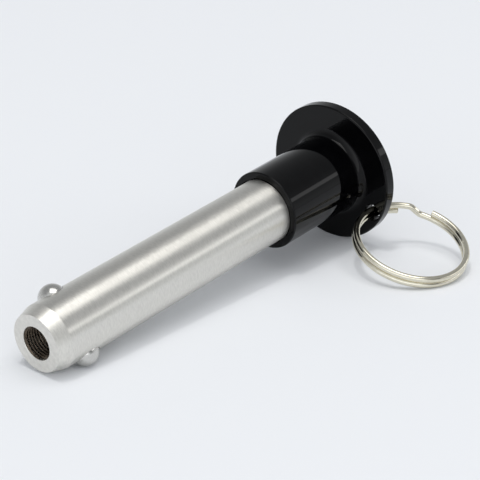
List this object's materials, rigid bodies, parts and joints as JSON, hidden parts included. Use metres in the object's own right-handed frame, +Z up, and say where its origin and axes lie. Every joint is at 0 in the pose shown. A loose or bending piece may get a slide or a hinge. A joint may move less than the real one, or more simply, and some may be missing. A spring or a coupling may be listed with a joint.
{
  "type": "ball-lock hitch pin",
  "caption": "Push-button ball-lock hitch pin: steel shank with spring-out balls, black flanged grip and a split ring through the flange.",
  "frame": {"origin": "on the ground under the middle of the part's bounding box, seen from above", "axes": "+Z up, +X from the tip towards the button along the pin's run on the ground; the pin's own axis lies in the X-Z plane, tilted up by 5.74 degrees at the button end"},
  "size_m": [0.1156, 0.0578, 0.0354],
  "materials": {
    "shank_steel": "ground and lightly grained stainless steel",
    "black_anodised": "gloss black anodised, turned",
    "spindle_steel": "turned stainless steel",
    "button_aluminium": "satin clear anodised, turned",
    "spring_steel": "phosphated spring steel",
    "ball_steel": "polished bearing ball",
    "ring_nickel": "polished nickel plate"
  },
  "bodies": {
    "pin": {"shank": "shank_steel", "grip": "black_anodised", "retaining_ring": "spring_steel", "return_spring": "spring_steel"},
    "button": {"push_button": "button_aluminium", "spindle": "spindle_steel", "button_pin": "spindle_steel"},
    "lower_ball": {"ball_lower": "ball_steel"},
    "upper_ball": {"ball_upper": "ball_steel"},
    "ring": {"split_ring": "ring_nickel"}
  },
  "joints": [
    {"name": "button_press", "type": "slide", "parent": "pin", "child": "button", "axis": [-0.995, 0, -0.1], "range_m": [0, 0.005], "stiffness_N_per_m": 600, "springref_m": -0.004, "deforming": ["return_spring"]},
    {"name": "lower_ball_drop", "type": "slide", "parent": "pin", "child": "lower_ball", "axis": [-0.077, 0.6382, 0.766], "range_m": [0, 0.0021]},
    {"name": "upper_ball_drop", "type": "slide", "parent": "pin", "child": "upper_ball", "axis": [0.077, -0.6382, -0.766], "range_m": [0, 0.0021]},
    {"name": "ring_swing", "type": "hinge", "parent": "pin", "child": "ring", "pos_m": [0.0458, -0.00195, 0.01032], "axis": [0.995, 0, 0.1], "range_deg": [-98, 122]}
  ],
  "couplings": [
    {"joint": "lower_ball_drop", "follows": "button_press", "ratio": 0.42},
    {"joint": "upper_ball_drop", "follows": "button_press", "ratio": 0.42}
  ]
}
